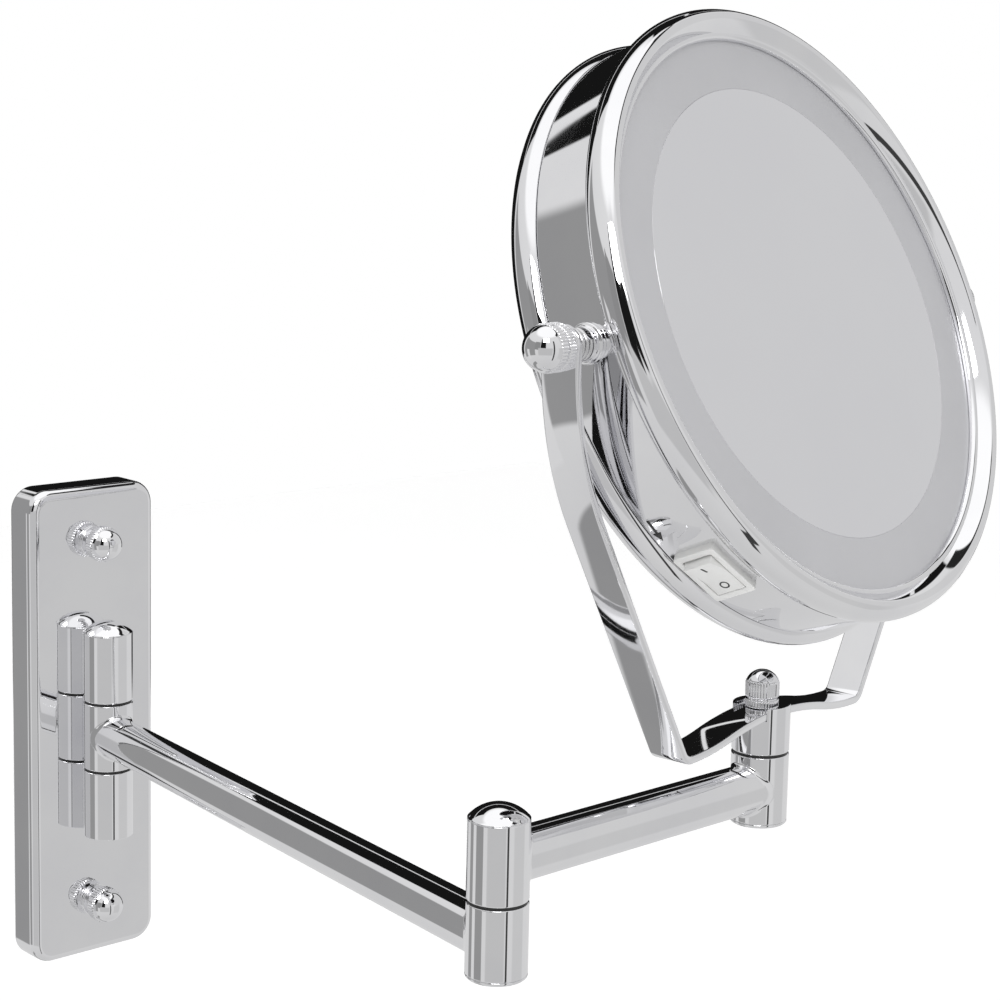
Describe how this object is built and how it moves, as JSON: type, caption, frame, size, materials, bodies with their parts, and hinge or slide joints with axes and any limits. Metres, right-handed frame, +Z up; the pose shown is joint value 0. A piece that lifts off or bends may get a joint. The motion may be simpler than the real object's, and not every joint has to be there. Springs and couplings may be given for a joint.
{
  "type": "wall mirror",
  "caption": "Extendable wall mirror: round lit two-sided head in a tilting yoke on a two-link swinging arm with a rectangular wall plate.",
  "frame": {"origin": "centre of the wall plate's back face, on the wall plane", "axes": "+Z up, +Y into the wall, -Y out into the room, +X to the right for a person facing the wall"},
  "size_m": [0.2521, 0.3354, 0.368],
  "materials": {
    "chrome": "polished",
    "mirror_glass": "polished",
    "frosted_glass": "frosted",
    "white_plastic": "gloss",
    "black_plastic": "matte",
    "steel": "zinc plated",
    "led": "gloss",
    "battery": "gloss"
  },
  "bodies": {
    "wall": {"wall_plate": "chrome", "wall_bracket": "steel", "bracket_studs": "steel", "stud_spacers": "steel", "flange_washers": "chrome", "cap_nuts": "chrome", "knuckle_lower": "chrome", "knuckle_upper": "chrome", "hinge_pin": "steel", "barrel_cap": "chrome", "barrel_washers": "black_plastic", "barrel_screws": "steel"},
    "arm_1": {"knuckle_middle": "chrome", "wall_bush": "black_plastic", "arm_tube_1": "chrome", "elbow_lower": "chrome", "elbow_plug": "chrome", "elbow_pin": "steel", "elbow_washer": "black_plastic"},
    "arm_2": {"elbow_upper": "chrome", "elbow_bush": "black_plastic", "elbow_cap": "chrome", "arm_tube_2": "chrome", "end_lower": "chrome", "end_plug": "chrome", "swivel_stud": "steel", "end_washer": "black_plastic"},
    "yoke": {"end_upper": "chrome", "yoke_strap": "chrome", "ring_nuts": "chrome"},
    "swivel_nut": {"base_nut": "chrome"},
    "head": {"drum": "chrome", "front_rim": "chrome", "plain_mirror": "mirror_glass", "light_ring": "frosted_glass", "front_carrier": "white_plastic", "led_board": "white_plastic", "led_chips": "led", "battery_tray": "white_plastic", "battery_holder": "black_plastic", "batteries": "battery", "battery_contacts": "steel", "pivot_studs": "chrome", "pivot_bushes": "chrome", "pivot_springs": "chrome", "switch_frame": "white_plastic", "switch_body": "black_plastic", "rocker_pin": "steel"},
    "rear": {"rear_ring": "chrome", "rear_mirror": "mirror_glass"},
    "rocker": {"rocker": "white_plastic"},
    "knob_left": {"side_knob_left": "chrome"},
    "knob_right": {"side_knob_right": "chrome"}
  },
  "joints": [
    {"name": "wall_swing", "type": "hinge", "parent": "wall", "child": "arm_1", "pos_m": [0, -0.02435, -0.0021], "axis": [0, 0, 1], "range_deg": [-83.1, 94.9]},
    {"name": "elbow_swing", "type": "hinge", "parent": "arm_1", "child": "arm_2", "pos_m": [-0.0265, -0.28078, 0.0217], "axis": [0, 0, 1], "continuous": true},
    {"name": "yoke_swivel", "type": "hinge", "parent": "arm_2", "child": "yoke", "pos_m": [0.09126, -0.27791, 0.0417], "axis": [0, 0, 1], "continuous": true},
    {"name": "swivel_nut_turn", "type": "hinge", "parent": "yoke", "child": "swivel_nut", "pos_m": [0.09126, -0.27791, 0.0539], "axis": [0, 0, 1], "continuous": true},
    {"name": "head_tilt", "type": "hinge", "parent": "yoke", "child": "head", "pos_m": [0.09126, -0.27791, 0.1755], "axis": [0.9877, 0.1564, 0], "continuous": true},
    {"name": "rear_twist", "type": "hinge", "parent": "head", "child": "rear", "pos_m": [0.08882, -0.26245, 0.16886], "axis": [0.144, -0.9092, 0.3907], "range_deg": [0, 20]},
    {"name": "switch_rock", "type": "hinge", "parent": "head", "child": "rocker", "pos_m": [0.02766, -0.31371, 0.10796], "axis": [0.144, -0.9092, 0.3907], "range_deg": [-16, 0]},
    {"name": "left_knob_turn", "type": "hinge", "parent": "head", "child": "knob_left", "pos_m": [-0.02923, -0.29699, 0.1755], "axis": [-0.9877, -0.1564, 0], "continuous": true},
    {"name": "right_knob_turn", "type": "hinge", "parent": "head", "child": "knob_right", "pos_m": [0.21176, -0.25882, 0.1755], "axis": [0.9877, 0.1564, 0], "continuous": true}
  ]
}
